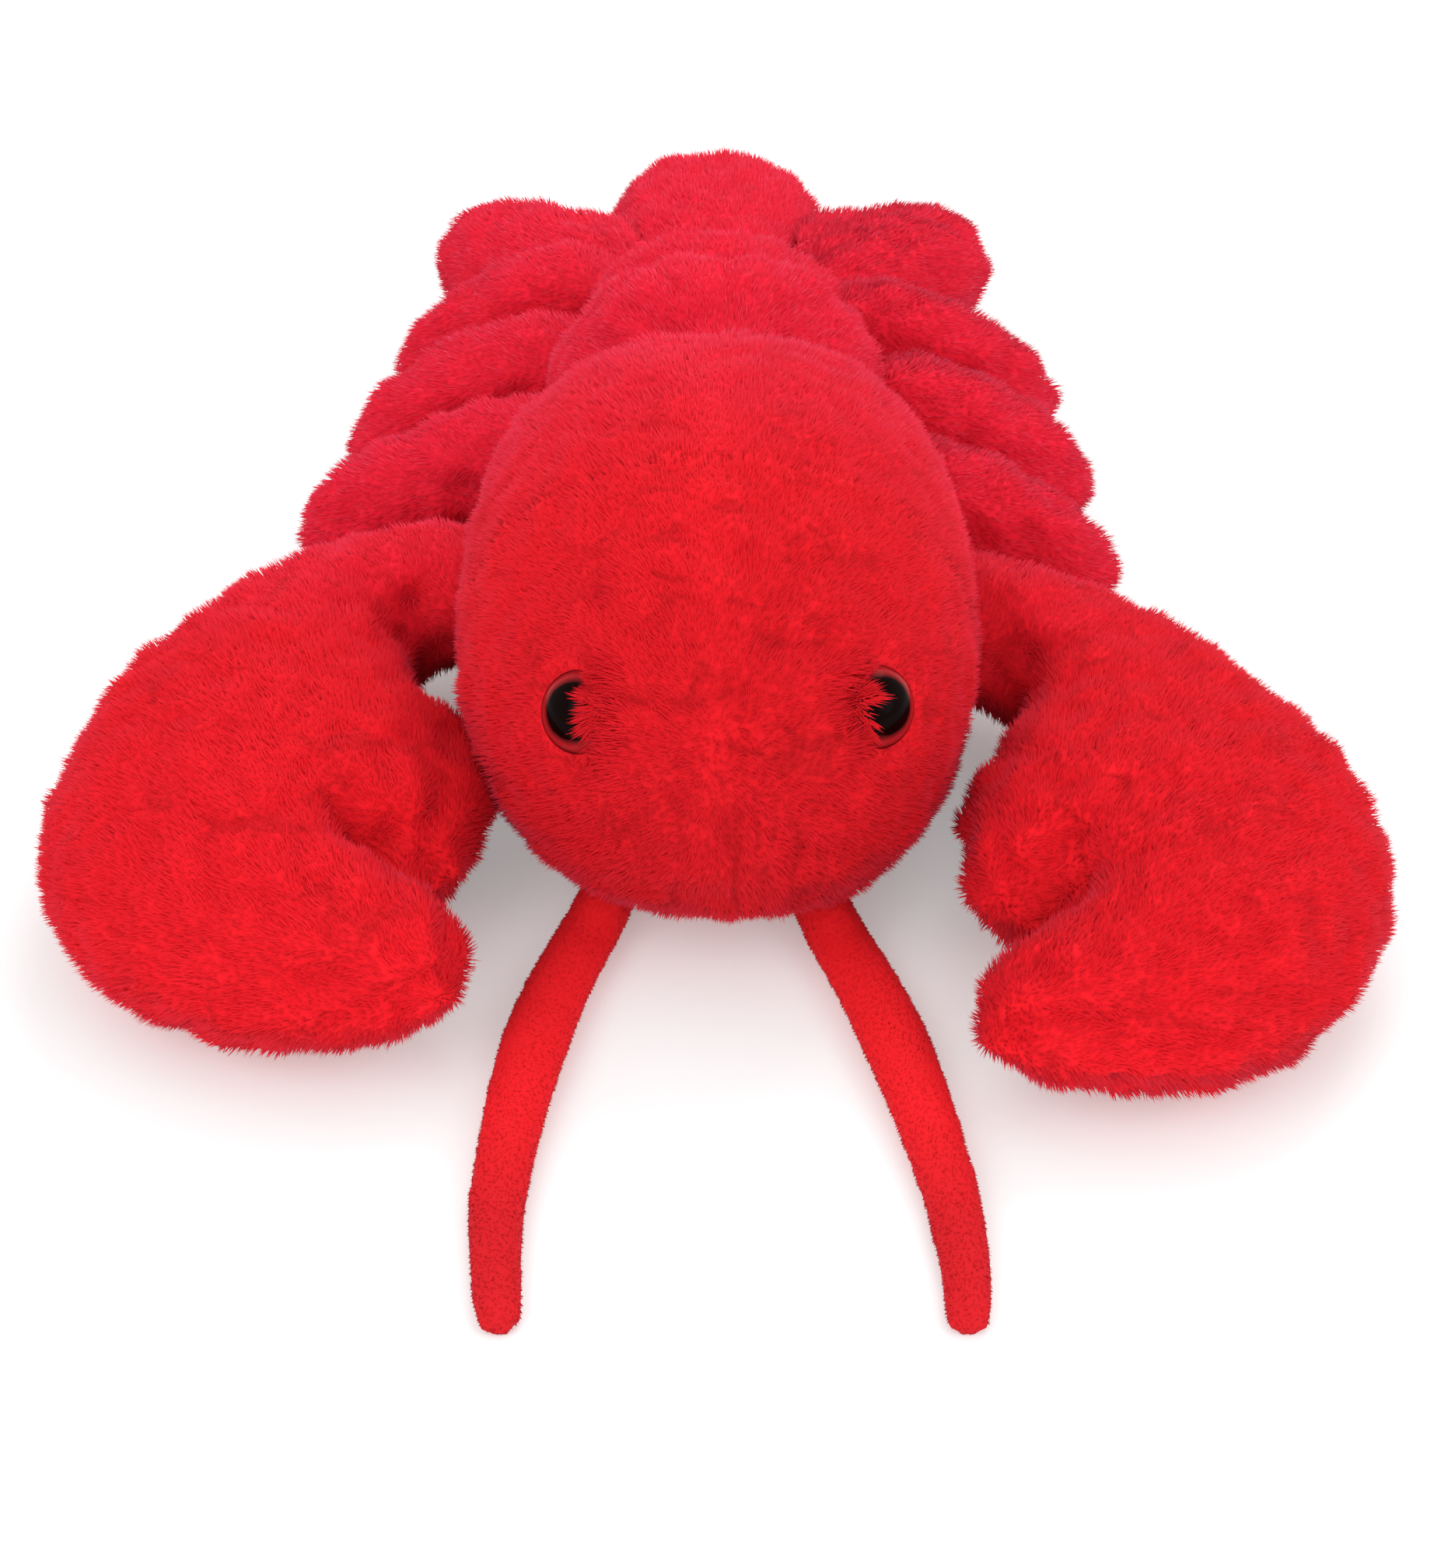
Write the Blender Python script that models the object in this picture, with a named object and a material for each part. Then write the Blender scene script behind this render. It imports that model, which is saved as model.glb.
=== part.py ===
# Plush lobster: a stuffed fur toy that lies on its belly, with moulded safety eyes.
# Frame: metres, +Z up, the floor at Z = 0, the head towards -Y. Left is -X, as someone who faces the
# toy sees it. The origin is on the belly patch, under the widest place of the carapace.

import math

import bmesh
import bpy
import numpy as np
from mathutils import Matrix, Vector
from mathutils.geometry import delaunay_2d_cdt

# Gap between sewn pieces, which their stitches close
SEAM_GAP = 0.0004

# Body shell: a carapace and three tail puffs between gathers
CARAPACE_FRONT = 0.0678  # from the origin to the snout
CARAPACE_REAR = 0.068  # from the origin to the first gather
CARAPACE_HALF_WIDTH = 0.050
CARAPACE_TOP = 0.085
CARAPACE_MIDDLE = 0.040  # height of the widest place
CARAPACE_BLUNT = 2.05  # 2 is an ellipse from snout to gather, more is blunter
SNOUT_SWAY = 0.0020  # the snout lies this far to +X
PUFF_LENGTHS = (0.038, 0.033, 0.024)
PUFF_HALF_WIDTHS = (0.037, 0.031, 0.023)
PUFF_TOPS = (0.071, 0.059, 0.033)
PUFF_MIDDLES = (0.033, 0.028, 0.016)
GATHER_HALF_WIDTHS = (0.030, 0.026, 0.019)
GATHER_TOPS = (0.052, 0.046, 0.029)
TAIL_STUMP_BLUNT = 2.6
BELLY_SINK = 0.004  # how far the round belly is pressed flat
SECTION_ROUND_TOP = 2.05  # superellipse exponents of a section, above and below its widest place
SECTION_ROUND_BELLY = 2.5
BACK_SEAM_DEPTH = 0.0024
BACK_SEAM_HALF_WIDTH = 0.008
BODY_SIDES = 32
CARAPACE_RINGS = 15
PUFF_RINGS = (9, 8, 6)

# Claws: an arm and a mitten with a pincer slit, two panels on one seam
CLAW_STATION = 0.022  # how far behind the origin the arm leaves the body
CLAW_TUCK = 0.008  # how far the arm starts inside the carapace
CLAW_SEAM_HEIGHT = 0.0195
CLAW_RISE = 0.0255
CLAW_SHOULDER_LIFT = 0.009
CLAW_LIFT_REACH = 0.045  # the arm comes down to the mitten's height over this length
CLAW_SWAY = 0.006  # the left claw lies this far back, the right one as far forward
CLAW_FULLNESS = 0.42
# Seam points from the middle of the arm's root, outwards and forwards
CLAW_SEAM_LEFT = (
    (-0.0020, -0.0170),
    (0.0140, -0.0208),
    (0.0358, -0.0192),
    (0.0546, -0.0068),
    (0.0706, 0.0168),
    (0.0817, 0.0412),
    (0.0856, 0.0655),
    (0.0802, 0.0878),
    (0.0650, 0.1080),
    (0.0420, 0.1187),
    (0.0190, 0.1200),
    (0.0026, 0.1120),
    (0.0027, 0.0938),
    (0.0112, 0.0850),
    (0.0245, 0.0800),
    (0.0096, 0.0824),
    (0.0010, 0.0732),
    (0.0030, 0.0500),
    (0.0145, 0.0290),
    (0.0185, 0.0180),
    (0.0120, 0.0140),
    (-0.0020, 0.0140),
)
CLAW_SEAM_RIGHT = (
    (-0.0020, -0.0170),
    (0.0140, -0.0200),
    (0.0342, -0.0155),
    (0.0522, -0.0010),
    (0.0676, 0.0198),
    (0.0797, 0.0423),
    (0.0837, 0.0657),
    (0.0776, 0.0882),
    (0.0640, 0.1070),
    (0.0420, 0.1182),
    (0.0205, 0.1188),
    (0.0036, 0.1125),
    (0.0022, 0.0970),
    (0.0124, 0.0864),
    (0.0242, 0.0800),
    (0.0103, 0.0820),
    (0.0028, 0.0720),
    (0.0030, 0.0505),
    (0.0135, 0.0300),
    (0.0163, 0.0212),
    (0.0110, 0.0168),
    (-0.0020, 0.0150),
)

# Legs: three paddles in a row on each side, drooping from the body to the floor
LEG_FIRST_STATION = 0.068
LEG_PITCH = 0.0318
LEG_SPACE = 0.0008  # between neighbouring paddles
LEG_TUCK = 0.010
# Front, middle and rear, from the body's side, on the left and on the right
LEG_REACHES = ((0.0610, 0.0488, 0.0456), (0.0558, 0.0493, 0.0500))
LEG_ROOT_HEIGHT = 0.031
LEG_TIP_HEIGHT = 0.0155
LEG_RISE = 0.0165
LEG_SWEEP = math.radians(5)  # tips forward
LEG_SWAY = 0.008  # the left legs lie this far back, the right ones as far forward
LEG_DROOP = 1.4  # 1 falls evenly from root to tip, more keeps the inner half high
LEG_ROOT_SHARE = 0.78  # width at the root against the full width
LEG_FULLNESS = 0.40

# Tail fan: a middle lobe with an inner and an outer lobe on each side
TAIL_TUCK = 0.012
TAIL_MIDDLE_LENGTH = 0.083
TAIL_MIDDLE_HALF_WIDTH = 0.028
TAIL_MIDDLE_SEAM_HEIGHT = 0.016
TAIL_MIDDLE_RISE = 0.0135
TAIL_SIDE_LENGTHS = ((0.062, 0.0755), (0.062, 0.0715))  # inner and outer, left and right
TAIL_SIDE_HALF_WIDTHS = (0.018, 0.021)  # inner, outer
TAIL_SIDE_TURNS = (math.radians(58), math.radians(41))  # back from straight out
TAIL_SIDE_ROOTS = (0.006, 0.008)  # from the centre line
TAIL_SIDE_ROOT_STEPS = (0.002, 0.006)  # ahead of the middle lobe's root
TAIL_SIDE_SEAM_HEIGHTS = (0.0145, 0.0175)
TAIL_SIDE_RISES = (0.0145, 0.0168)
TAIL_ROOT_SHARE = 0.60
TAIL_FULLNESS = 0.40

# Antennae: stuffed tubes sewn under the chin, which lie on the floor
ANTENNA_HALF_WIDTHS = (0.0056, 0.0064, 0.0041)  # sewn end, fullest place, tip
ANTENNA_FULL_SHARE = 0.42  # the fullest place, as a share of the length
ANTENNA_FLATNESS = 0.72  # height against width
ANTENNA_SINK = 0.0006  # pressed flat where it lies
ANTENNA_CHIN_TUCK = 0.0358  # how far behind the snout the tube is sewn on
# Centre lines from the sewn end, outwards and forwards
ANTENNA_LINE_LEFT = (
    (0.0182, 0.000),
    (0.0236, 0.014),
    (0.0299, 0.034),
    (0.0344, 0.057),
    (0.0370, 0.082),
    (0.0366, 0.098),
    (0.0357, 0.108),
)
ANTENNA_LINE_RIGHT = (
    (0.0168, 0.000),
    (0.0217, 0.014),
    (0.0287, 0.034),
    (0.0348, 0.057),
    (0.0396, 0.082),
    (0.0410, 0.098),
    (0.0409, 0.108),
)
ANTENNA_SIDES = 12
ANTENNA_RINGS = 18
ANTENNA_ROUND_END_RINGS = 4

# Safety eyes, their washers and their seats in the shell
EYE_STATIONS = (-0.0511, -0.0494)  # left, right, as they were pressed in by hand
EYE_TURNS = (math.radians(36.5), math.radians(34.5))  # up from the widest line, round the section
EYE_RADIUS = 0.0075
EYE_DOME = 0.0058
EYE_RIM = 0.0008
EYE_SINK = 0.0042  # how far the rim sits under the pile
EYE_SHANK_RADIUS = 0.0020
EYE_SHANK_LENGTH = 0.0125
EYE_BARB = 0.0003
EYE_BARB_COUNT = 4
SHELL_THICKNESS = 0.0030  # cloth and pile between the eye and its washer
WASHER_RADIUS = 0.0068
WASHER_THICKNESS = 0.0018
WASHER_BOSS_RADIUS = 0.0038
WASHER_BOSS = 0.0012
MOULDING_GAP = 0.0003
ROUND_SIDES = 16

# Spacing of the panels' meshes
CLAW_GRID = 0.0069
LEG_GRID = 0.0065
TAIL_GRID = 0.0066

# Colours (linear), roughness and metallic
FUR_RED = ((0.82, 0.013, 0.028), 0.9, 0.0)
NAP_RED = ((0.70, 0.014, 0.020), 0.85, 0.0)
EYE_BROWN = ((0.035, 0.003, 0.003), 0.1, 0.0)
WASHER_WHITE = ((0.75, 0.75, 0.72), 0.5, 0.0)


def clear_scene():
    for item in list(bpy.data.objects):
        bpy.data.objects.remove(item, do_unlink=True)


def material(name, finish):
    colour, roughness, metallic = finish
    made = bpy.data.materials.new(name)
    made.use_nodes = True
    shader = made.node_tree.nodes["Principled BSDF"]
    shader.inputs["Base Color"].default_value = (*colour, 1)
    shader.inputs["Roughness"].default_value = roughness
    shader.inputs["Metallic"].default_value = metallic
    made.diffuse_color = (*colour, 1)
    return made


def add_object(name, bm, finish, parent, place=None):
    bmesh.ops.recalc_face_normals(bm, faces=bm.faces)
    mesh = bpy.data.meshes.new(name)
    bm.to_mesh(mesh)
    bm.free()
    mesh.shade_smooth()
    mesh.materials.append(finish)
    made = bpy.data.objects.new(name, mesh)
    bpy.context.scene.collection.objects.link(made)
    made.parent = parent
    made.matrix_world = place or Matrix()
    return made


def power(value, exponent):
    return math.copysign(abs(value) ** exponent, value)


def blunt(u, exponent):
    # 1 in the middle of a puff and 0 at its ends
    return max(0.0, 1 - abs(u) ** exponent) ** (1 / exponent)


# Body

def puff_table():
    """Each puff's front, peak and rear stations, its peak sizes and the sizes at its two ends."""
    rows = [
        {
            "front": -CARAPACE_FRONT,
            "peak": 0.0,
            "rear": CARAPACE_REAR,
            "full": (CARAPACE_HALF_WIDTH, CARAPACE_TOP, CARAPACE_MIDDLE),
            "ends": (None, (GATHER_HALF_WIDTHS[0], GATHER_TOPS[0])),
            "blunt": CARAPACE_BLUNT,
            "rings": CARAPACE_RINGS,
        }
    ]
    start = CARAPACE_REAR
    for i, length in enumerate(PUFF_LENGTHS):
        last = i == len(PUFF_LENGTHS) - 1
        rows.append(
            {
                "front": start,
                "peak": start + length / 2,
                "rear": start + length,
                "full": (PUFF_HALF_WIDTHS[i], PUFF_TOPS[i], PUFF_MIDDLES[i]),
                "ends": (
                    (GATHER_HALF_WIDTHS[i], GATHER_TOPS[i]),
                    None if last else (GATHER_HALF_WIDTHS[i + 1], GATHER_TOPS[i + 1]),
                ),
                "blunt": TAIL_STUMP_BLUNT if last else 2.0,
                "rings": PUFF_RINGS[i],
            }
        )
        start += length
    return rows


PUFFS = puff_table()
BODY_REAR = PUFFS[-1]["rear"]


def section(y, puff):
    """Half width, top, middle and bottom heights of the body at a station inside one puff."""
    ahead = y < puff["peak"]
    end = puff["front"] if ahead else puff["rear"]
    share = blunt((y - puff["peak"]) / (end - puff["peak"]), puff["blunt"])
    width, top, middle = puff["full"]
    end_width, end_top = puff["ends"][0 if ahead else 1] or (0.0, middle)
    return (
        end_width + (width - end_width) * share,
        end_top + (top - end_top) * share,
        middle,
        middle - (middle + BELLY_SINK) * (end_width / width + (1 - end_width / width) * share),
    )


def section_point(y, turn, puff):
    """The body's skin at a station, turn radians up from its widest line on the +X side."""
    width, top, middle, bottom = section(y, puff)
    upper = math.sin(turn) >= 0
    roundness = 2 / (SECTION_ROUND_TOP if upper else SECTION_ROUND_BELLY)
    x = width * power(math.cos(turn), roundness)
    z = middle + (top - middle if upper else middle - bottom) * power(math.sin(turn), roundness)
    if upper:
        z -= BACK_SEAM_DEPTH * math.exp(-((x / BACK_SEAM_HALF_WIDTH) ** 2)) * (top - middle) / top
    return Vector((x, y, z))


def snout_sway(y):
    """How far the head's section at a station lies to one side."""
    return Vector((SNOUT_SWAY * max(0.0, -y / CARAPACE_FRONT) ** 2, 0, 0))


def body_side(y):
    """Half width of the body at a station."""
    for puff in PUFFS:
        if y <= puff["rear"]:
            return section(y, puff)[0]
    return PUFFS[-1]["ends"][0][0]


def sit_on_floor(bm, floor):
    """Cuts a mesh flat where the floor presses it, and closes the cut."""
    geometry = bm.verts[:] + bm.edges[:] + bm.faces[:]
    bmesh.ops.bisect_plane(
        bm, geom=geometry, plane_co=(0, 0, floor), plane_no=(0, 0, 1), clear_inner=True, dist=1e-6
    )
    rim = [edge for edge in bm.edges if edge.is_boundary]
    bmesh.ops.holes_fill(bm, edges=rim, sides=0)
    bmesh.ops.triangulate(bm, faces=[face for face in bm.faces if len(face.verts) > 4])


def bridge(bm, rings, first=None, last=None):
    """Quads between rings of the same size, with a fan to the point at either end."""
    count = len(rings[0])
    for near, far in zip(rings, rings[1:]):
        for k in range(count):
            j = (k + 1) % count
            bm.faces.new((near[k], near[j], far[j], far[k]))
    for ring, tip in ((rings[0], first), (rings[-1], last)):
        if tip is not None:
            for k in range(count):
                bm.faces.new((ring[k], ring[(k + 1) % count], tip))


def body_mesh():
    bm = bmesh.new()
    turns = [math.tau * k / BODY_SIDES + math.pi / 2 for k in range(BODY_SIDES)]
    rings = []
    for number, puff in enumerate(PUFFS):
        count = puff["rings"]
        for k in range(0 if number == 0 else 1, count + 1):
            along = math.cos(math.pi * k / count)
            reach = puff["peak"] - puff["front"] if along > 0 else puff["rear"] - puff["peak"]
            y = puff["peak"] - reach * along
            closing = (number == 0 and k == 0) or (puff is PUFFS[-1] and k == count)
            if not closing:
                rings.append([bm.verts.new(section_point(y, turn, puff) + snout_sway(y)) for turn in turns])
    snout = bm.verts.new((SNOUT_SWAY, PUFFS[0]["front"], PUFFS[0]["full"][2]))
    stump = bm.verts.new((0, PUFFS[-1]["rear"], PUFFS[-1]["full"][2]))
    bridge(bm, rings, snout, stump)
    sit_on_floor(bm, 0)
    return bm


# Sewn panels

def smooth_loop(points, step):
    """Even points along a closed curve that passes through the given ones."""
    anchors = [Vector(p) for p in points]
    count = len(anchors)
    fine = []
    for i in range(count):
        a, b, c, d = (anchors[(i + k) % count] for k in (-1, 0, 1, 2))
        for t in np.linspace(0, 1, 16, endpoint=False):
            fine.append(
                0.5
                * (
                    2 * b
                    + (c - a) * t
                    + (2 * a - 5 * b + 4 * c - d) * t**2
                    + (3 * b - a - 3 * c + d) * t**3
                )
            )
    fine = np.array([tuple(p) for p in fine + fine[:1]])
    along = np.concatenate([[0], np.cumsum(np.linalg.norm(np.diff(fine, axis=0), axis=1))])
    count = max(8, round(along[-1] / step))
    at = np.linspace(0, along[-1], count, endpoint=False)
    return np.stack([np.interp(at, along, fine[:, k]) for k in (0, 1)], axis=1)


def distance_to_loop(points, loop):
    """Each point's distance from a closed outline."""
    starts, steps = loop, np.roll(loop, -1, axis=0) - loop
    offsets = points[:, None] - starts[None]
    share = np.clip((offsets * steps).sum(2) / (steps**2).sum(1), 0, 1)
    return np.linalg.norm(offsets - share[..., None] * steps, axis=2).min(1)


def inside_loop(points, loop):
    a, b = loop, np.roll(loop, -1, axis=0)
    x, y = points[:, 0, None], points[:, 1, None]
    crosses = (a[:, 1] > y) != (b[:, 1] > y)
    rise = np.where(b[:, 1] == a[:, 1], 1, b[:, 1] - a[:, 1])
    return (crosses & (x < (b[:, 0] - a[:, 0]) * (y - a[:, 1]) / rise + a[:, 0])).sum(1) % 2 == 1


def panel(loop, grid):
    """A flat triangle mesh inside an outline: its points, the outline's first, and its triangles."""
    low, high = loop.min(0), loop.max(0)
    rows = np.arange(low[1] + grid / 2, high[1], grid * math.sqrt(3) / 2)
    inner = np.array(
        [(x, y) for i, y in enumerate(rows) for x in np.arange(low[0] + grid * (i % 2) / 2, high[0], grid)]
    )
    inner = inner[inside_loop(inner, loop)]
    inner = inner[distance_to_loop(inner, loop) > 0.55 * grid]
    points = [Vector(p) for p in np.concatenate([loop, inner])]
    rim = [(i, (i + 1) % len(loop)) for i in range(len(loop))]
    found = delaunay_2d_cdt(points, rim, [], 1, 1e-7)
    return np.array([tuple(p) for p in found[0]]), found[2], len(loop)


def puffed(points, faces, rim_count, fullness):
    """How high stuffing lifts each point of a panel sewn down round its rim, from 0 to 1."""
    count = len(points)
    matrix, load = np.zeros((count, count)), np.zeros(count)
    for face in faces:
        corners = points[list(face)]
        for k in range(3):
            i, j, o = face[k], face[(k + 1) % 3], k - 1
            u, v = points[i] - corners[o], points[j] - corners[o]
            area = abs(u[0] * v[1] - u[1] * v[0])
            weight = max(0.02, (u @ v) / (2 * area))
            matrix[i, j] -= weight
            matrix[j, i] -= weight
            matrix[i, i] += weight
            matrix[j, j] += weight
            load[i] += area / 6
    height = np.zeros(count)
    free = np.arange(rim_count, count)
    height[free] = np.linalg.solve(matrix[np.ix_(free, free)], load[free])
    return (np.maximum(height, 0) / height.max()) ** fullness


def pillow(outline, grid, rise, drop, fullness, seam_height):
    """Two stuffed panels on one seam. seam_height(x, y) lifts the seam and both panels with it."""
    loop = smooth_loop(outline, grid)
    points, faces, rim_count = panel(loop, grid)
    lift = puffed(points, faces, rim_count, fullness)
    bm = bmesh.new()
    tops, bottoms = [], []
    for i, (x, y) in enumerate(points):
        base = seam_height(x, y)
        tops.append(bm.verts.new((x, y, base + rise * lift[i])))
        bottoms.append(tops[i] if i < rim_count else bm.verts.new((x, y, base - drop * lift[i])))
    for face in faces:
        bm.faces.new([tops[i] for i in face])
        bm.faces.new([bottoms[i] for i in reversed(face)])
    return bm


def ease(share):
    """0 to 1 with level ends."""
    share = min(1.0, max(0.0, share))
    return share * share * (3 - 2 * share)


def claw_mesh(side):
    outline = [(side * x, -y) for x, y in (CLAW_SEAM_RIGHT if side > 0 else CLAW_SEAM_LEFT)]

    def seam_height(x, y):
        return CLAW_SHOULDER_LIFT * (1 - ease(math.hypot(x, y) / CLAW_LIFT_REACH))

    drop = CLAW_SEAM_HEIGHT + BELLY_SINK
    bm = pillow(outline, CLAW_GRID, CLAW_RISE, drop, CLAW_FULLNESS, seam_height)
    sit_on_floor(bm, -CLAW_SEAM_HEIGHT)
    return bm


def paddle(length, half_width, root_share):
    """Outline of a rounded paddle that leaves its root along +X."""
    return (
        (0.0, -root_share * half_width),
        (0.30 * length, -0.93 * half_width),
        (0.58 * length, -half_width),
        (0.84 * length, -0.80 * half_width),
        (0.97 * length, -0.36 * half_width),
        (0.97 * length, 0.36 * half_width),
        (0.84 * length, 0.80 * half_width),
        (0.58 * length, half_width),
        (0.30 * length, 0.93 * half_width),
        (0.0, root_share * half_width),
    )


def leg_half_width():
    return (LEG_PITCH * math.cos(LEG_SWEEP) - LEG_SPACE) / 2


def leg_mesh(reach):
    length = LEG_TUCK + reach
    fall = LEG_ROOT_HEIGHT - LEG_TIP_HEIGHT

    def seam_height(x, _y):
        return -fall * ease(x / length) ** LEG_DROOP

    outline = paddle(length, leg_half_width(), LEG_ROOT_SHARE)
    bm = pillow(outline, LEG_GRID, LEG_RISE, LEG_TIP_HEIGHT + BELLY_SINK / 2, LEG_FULLNESS, seam_height)
    sit_on_floor(bm, -LEG_ROOT_HEIGHT)
    return bm


def tail_lobe_mesh(length, half_width, height, rise):
    outline = paddle(length, half_width, TAIL_ROOT_SHARE)
    bm = pillow(outline, TAIL_GRID, rise, height + BELLY_SINK / 2, TAIL_FULLNESS, lambda _x, _y: 0.0)
    sit_on_floor(bm, -height)
    return bm


# Antennae

def smooth_line(points, count):
    """Even points along an open curve that passes through the given ones."""
    anchors = [Vector(p) for p in points]
    anchors = [2 * anchors[0] - anchors[1], *anchors, 2 * anchors[-1] - anchors[-2]]
    fine = []
    for a, b, c, d in zip(anchors, anchors[1:], anchors[2:], anchors[3:]):
        for t in np.linspace(0, 1, 12, endpoint=False):
            fine.append(
                0.5
                * (
                    2 * b
                    + (c - a) * t
                    + (2 * a - 5 * b + 4 * c - d) * t**2
                    + (3 * b - a - 3 * c + d) * t**3
                )
            )
    fine = np.array([tuple(p) for p in [*fine, anchors[-2]]])
    along = np.concatenate([[0], np.cumsum(np.linalg.norm(np.diff(fine, axis=0), axis=1))])
    at = np.linspace(0, along[-1], count)
    return np.stack([np.interp(at, along, fine[:, k]) for k in (0, 1)], axis=1), along[-1]


def antenna_mesh(side):
    centre_line = ANTENNA_LINE_RIGHT if side > 0 else ANTENNA_LINE_LEFT
    route = [(side * x, -y) for x, y in centre_line]
    line, length = smooth_line(route, ANTENNA_RINGS)
    ways = np.gradient(line, axis=0)
    ways /= np.linalg.norm(ways, axis=1)[:, None]
    bm = bmesh.new()
    rings, height = [], max(ANTENNA_HALF_WIDTHS) * ANTENNA_FLATNESS - ANTENNA_SINK

    def add_ring(centre, way, half_width):
        across = Vector((-way[1], way[0], 0))
        ring = []
        for k in range(ANTENNA_SIDES):
            turn = math.tau * (k + 0.5) / ANTENNA_SIDES
            tall = half_width * ANTENNA_FLATNESS
            centre_height = min(height, tall - ANTENNA_SINK)
            spot = Vector((*centre, centre_height)) + across * half_width * math.cos(turn)
            ring.append(bm.verts.new(spot + Vector((0, 0, tall * math.sin(turn)))))
        rings.append(ring)

    for i, (centre, way) in enumerate(zip(line, ways)):
        share = i / (ANTENNA_RINGS - 1)
        add_ring(centre, way, np.interp(share, (0, ANTENNA_FULL_SHARE, 1), ANTENNA_HALF_WIDTHS))
    end_radius = ANTENNA_HALF_WIDTHS[-1]
    for k in range(1, ANTENNA_ROUND_END_RINGS):
        turn = math.pi / 2 * k / ANTENNA_ROUND_END_RINGS
        centre = line[-1] + ways[-1] * end_radius * math.sin(turn)
        add_ring(centre, ways[-1], end_radius * math.cos(turn))
    root = bm.verts.new((*line[0], ANTENNA_HALF_WIDTHS[0] * ANTENNA_FLATNESS - ANTENNA_SINK))
    tip_height = max(0.0002, end_radius * ANTENNA_FLATNESS - ANTENNA_SINK)
    bridge(bm, rings, root, bm.verts.new((*(line[-1] + ways[-1] * end_radius), tip_height)))
    sit_on_floor(bm, 0)
    return bm


# Eyes

def lathe(profile):
    """A closed turned solid from (radius, height) points, the first and last on the axis or a ring."""
    bm = bmesh.new()
    rings, tips = [], {}
    for i, (radius, height) in enumerate(profile):
        if radius == 0:
            tips[i] = bm.verts.new((0, 0, height))
            continue
        rings.append(
            [
                bm.verts.new(
                    (
                        radius * math.cos(math.tau * k / ROUND_SIDES),
                        radius * math.sin(math.tau * k / ROUND_SIDES),
                        height,
                    )
                )
                for k in range(ROUND_SIDES)
            ]
        )
    if not tips:
        rings.append(rings[0])
    bridge(bm, rings, tips.get(0), tips.get(len(profile) - 1))
    return bm


def eye_mesh():
    """Dome above its rim, with a barbed shank below. Height 0 is the rim's underside."""
    bottom = -EYE_SHANK_LENGTH
    barb_pitch = (EYE_SHANK_LENGTH - SHELL_THICKNESS) / (EYE_BARB_COUNT + 1)
    profile = [(0, EYE_RIM + EYE_DOME)]
    for k in range(1, 6):
        turn = math.pi / 2 * k / 6
        profile.append((EYE_RADIUS * math.sin(turn), EYE_RIM + EYE_DOME * math.cos(turn)))
    profile += [(EYE_RADIUS, EYE_RIM), (EYE_RADIUS - EYE_RIM / 3, 0), (EYE_SHANK_RADIUS, 0)]
    for k in range(EYE_BARB_COUNT):
        start = -SHELL_THICKNESS - barb_pitch * (k + 0.6)
        profile.append((EYE_SHANK_RADIUS, start))
        profile.append((EYE_SHANK_RADIUS + EYE_BARB, start - barb_pitch * 0.15))
        profile.append((EYE_SHANK_RADIUS, start - barb_pitch * 0.75))
    profile += [(EYE_SHANK_RADIUS * 0.8, bottom), (0, bottom)]
    return lathe(profile)


def washer_mesh():
    """Flat ring with a boss, on the shank under the shell."""
    bore = EYE_SHANK_RADIUS + EYE_BARB + MOULDING_GAP
    top = -SHELL_THICKNESS - MOULDING_GAP
    return lathe(
        [
            (bore, top),
            (WASHER_RADIUS, top),
            (WASHER_RADIUS, top - WASHER_THICKNESS),
            (WASHER_BOSS_RADIUS, top - WASHER_THICKNESS),
            (WASHER_BOSS_RADIUS - WASHER_BOSS / 4, top - WASHER_THICKNESS - WASHER_BOSS),
            (bore, top - WASHER_THICKNESS - WASHER_BOSS),
        ]
    )


def eye_seat_mesh():
    """What the eye, its shank and its washer take out of the shell, with their gaps."""
    hole = EYE_SHANK_RADIUS + EYE_BARB + MOULDING_GAP
    recess = EYE_RADIUS + SEAM_GAP
    pocket = WASHER_RADIUS + MOULDING_GAP
    pocket_top = -SHELL_THICKNESS
    pocket_bottom = pocket_top - WASHER_THICKNESS - WASHER_BOSS - 2 * MOULDING_GAP
    end = -EYE_SHANK_LENGTH - MOULDING_GAP
    return lathe(
        [
            (0, EYE_RIM + EYE_DOME + EYE_SINK),
            (recess, EYE_RIM + EYE_DOME + EYE_SINK),
            (recess, -SEAM_GAP),
            (hole, -SEAM_GAP),
            (hole, pocket_top),
            (pocket, pocket_top),
            (pocket, pocket_bottom),
            (hole, pocket_bottom),
            (hole, end),
            (0, end),
        ]
    )


def eye_place(side):
    """The eye's axis is square to the carapace, and its rim sits under the pile."""
    step = 1e-4
    station, turn = EYE_STATIONS[side > 0], EYE_TURNS[side > 0]
    here = section_point(station, turn, PUFFS[0])
    along = section_point(station + step, turn, PUFFS[0]) - here
    round_it = section_point(station, turn + step, PUFFS[0]) - here
    out = along.cross(round_it)
    out = -out.normalized() if out.x < 0 else out.normalized()
    rim = here - out * EYE_SINK
    flip = Matrix.Diagonal((side, 1, 1)).to_3x3()
    out = flip @ out
    tilt = Vector((0, 0, 1)).rotation_difference(out).to_matrix().to_4x4()
    return Matrix.Translation(flip @ rim + snout_sway(station)) @ tilt


# Assembly

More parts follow.
